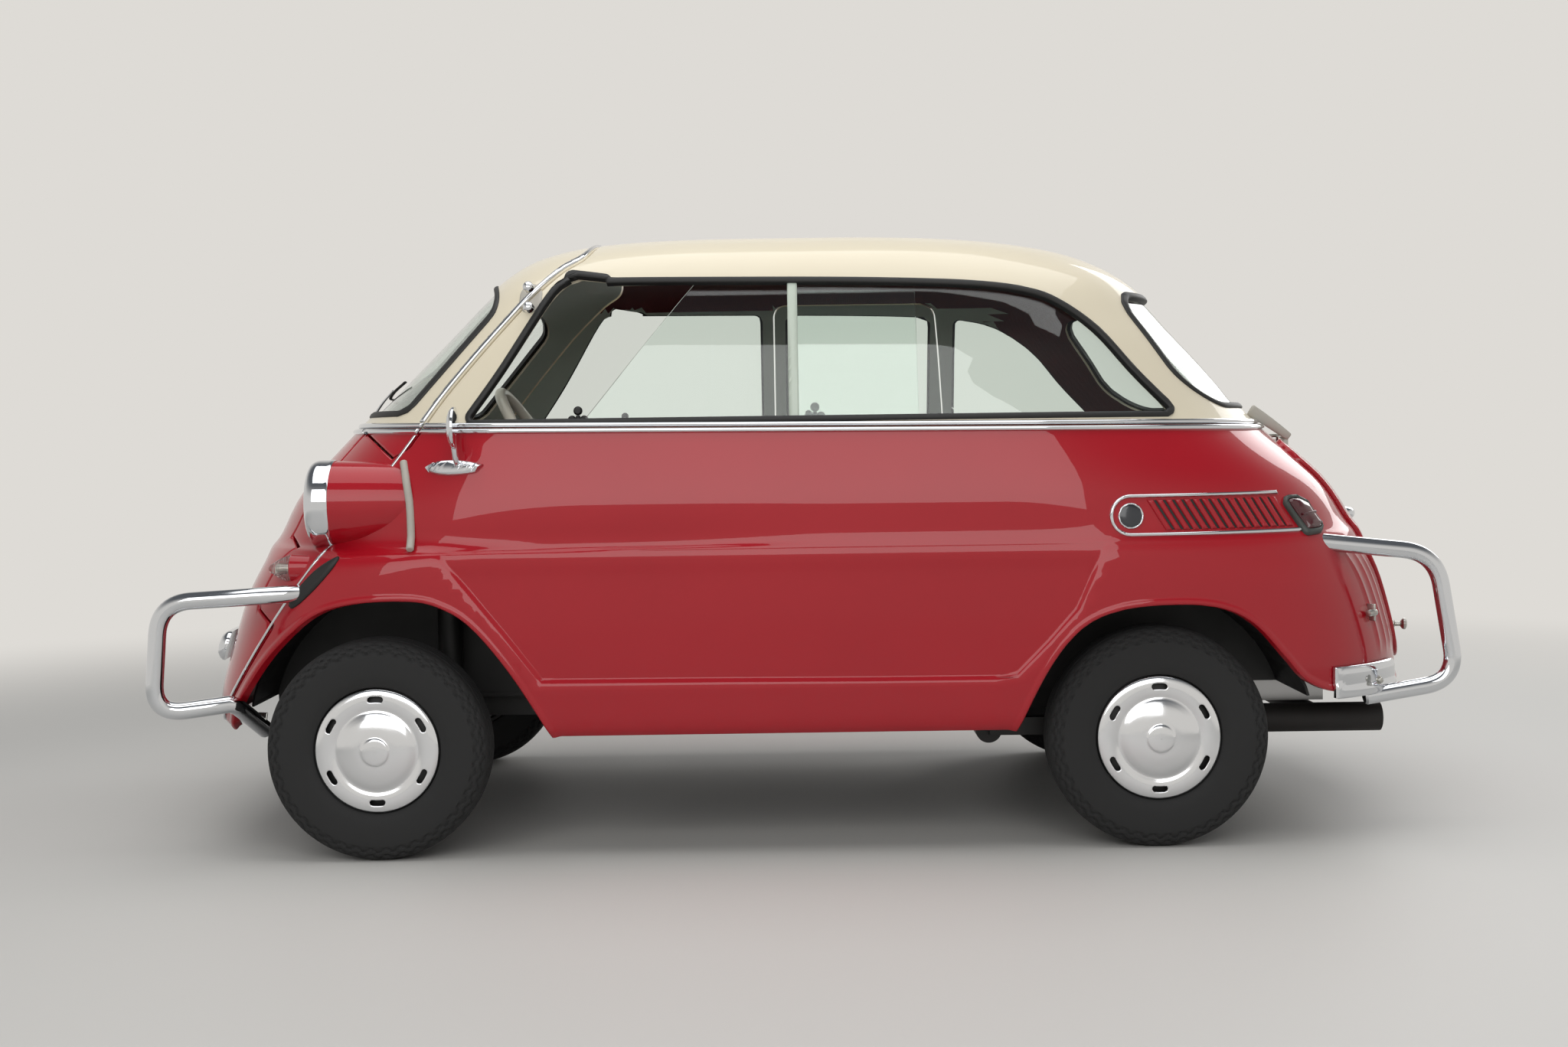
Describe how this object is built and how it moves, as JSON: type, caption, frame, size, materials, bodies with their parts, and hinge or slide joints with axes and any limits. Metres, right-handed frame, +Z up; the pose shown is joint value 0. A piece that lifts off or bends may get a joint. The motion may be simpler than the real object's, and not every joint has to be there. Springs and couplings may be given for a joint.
{
  "type": "four-seat microcar",
  "caption": "Small rounded red microcar with cream roof, front-opening nose door, chrome hoop bumpers, side door, engine lid, steering and turning wheels.",
  "frame": {"origin": "on the ground, below the middle of the bounding box", "axes": "-X toward the front of the car, -Y toward its left side, +Z up"},
  "size_m": [2.8932, 1.426, 1.382],
  "materials": {
    "red_paint": "deep gloss red",
    "cream_paint": "gloss cream",
    "chrome": "polished",
    "glass": "clear",
    "black_metal": "satin black",
    "clear_plastic": "clear ribbed",
    "red_plastic": "translucent dark red",
    "seat_leather": "padded",
    "cast_alloy": "as cast",
    "cast_iron": "black",
    "ivory_plastic": "gloss ivory",
    "tyre_rubber": "matte black"
  },
  "bodies": {
    "car": {"chassis_frame": "black_metal", "floor_pan": "black_metal", "wheelhouses": "black_metal", "rear_bulkhead": "black_metal", "body_lower": "red_paint", "roof_shell": "cream_paint", "rear_window": "glass", "side_glass": "glass", "belt_rails": "chrome", "headlamp_pods": "red_paint", "headlamps": "chrome", "headlamp_lenses": "glass", "turn_lamps": "clear_plastic", "front_bumpers": "chrome", "rear_bumpers": "chrome", "side_vents": "chrome", "tail_lamps": "red_plastic", "mirror": "chrome", "front_seat": "seat_leather", "rear_seat": "seat_leather", "engine_block": "cast_alloy", "exhaust": "cast_iron", "front_axle": "black_metal", "rear_axle": "black_metal"},
    "front_door": {"front_door_panel": "red_paint", "windscreen_frame": "cream_paint", "windscreen": "glass", "front_door_trim": "chrome"},
    "steering": {"steering_wheel": "ivory_plastic"},
    "side_door": {"side_door_panel": "red_paint", "side_door_frame": "cream_paint", "side_door_glass": "glass", "side_door_trim": "chrome"},
    "rear_lid": {"engine_lid": "red_paint", "plate_lamp": "chrome"},
    "steer_left": {"knuckle_left": "black_metal"},
    "steer_right": {"knuckle_right": "black_metal"},
    "road_wheel_front_left": {"wheel_front_left": "chrome", "tyre_front_left": "tyre_rubber"},
    "road_wheel_front_right": {"wheel_front_right": "chrome", "tyre_front_right": "tyre_rubber"},
    "road_wheel_rear_left": {"wheel_rear_left": "chrome", "tyre_rear_left": "tyre_rubber"},
    "road_wheel_rear_right": {"wheel_rear_right": "chrome", "tyre_rear_right": "tyre_rubber"}
  },
  "joints": [
    {"name": "front_door_hinge", "type": "hinge", "parent": "car", "child": "front_door", "pos_m": [-0.602, -0.5299, 1.23965], "axis": [0.6619, 0.1102, 0.7415], "range_deg": [0, 75]},
    {"name": "steering_turn", "type": "hinge", "parent": "front_door", "child": "steering", "pos_m": [-1.182, -0.3, 0.515], "axis": [0.8473, 0, 0.5311], "range_deg": [-420, 420]},
    {"name": "steer_left_kingpin", "type": "hinge", "parent": "car", "child": "steer_left", "pos_m": [-0.952, -0.52, 0.242], "axis": [0, 0, 1], "range_deg": [-28, 28]},
    {"name": "steer_right_kingpin", "type": "hinge", "parent": "car", "child": "steer_right", "pos_m": [-0.952, 0.52, 0.242], "axis": [0, 0, 1], "range_deg": [-28, 28]},
    {"name": "side_door_hinge", "type": "hinge", "parent": "car", "child": "side_door", "pos_m": [-0.0855, 0.706, 0.8], "axis": [0, 0, 1], "range_deg": [0, 70]},
    {"name": "engine_lid_hinge", "type": "hinge", "parent": "car", "child": "rear_lid", "pos_m": [1.13469, 0, 0.893], "axis": [0, -1, 0], "range_deg": [0, 60]},
    {"name": "wheel_front_left_spin", "type": "hinge", "parent": "steer_left", "child": "road_wheel_front_left", "pos_m": [-0.952, -0.61, 0.242], "axis": [0, 1, 0], "continuous": true},
    {"name": "wheel_front_right_spin", "type": "hinge", "parent": "steer_right", "child": "road_wheel_front_right", "pos_m": [-0.952, 0.61, 0.242], "axis": [0, 1, 0], "continuous": true},
    {"name": "wheel_rear_left_spin", "type": "hinge", "parent": "car", "child": "road_wheel_rear_left", "pos_m": [0.748, -0.58, 0.242], "axis": [0, 1, 0], "continuous": true},
    {"name": "wheel_rear_right_spin", "type": "hinge", "parent": "car", "child": "road_wheel_rear_right", "pos_m": [0.748, 0.58, 0.242], "axis": [0, 1, 0], "continuous": true}
  ],
  "couplings": [
    {"joint": "steer_left_kingpin", "follows": "steering_turn", "ratio": 0.066667},
    {"joint": "steer_right_kingpin", "follows": "steering_turn", "ratio": 0.066667}
  ]
}
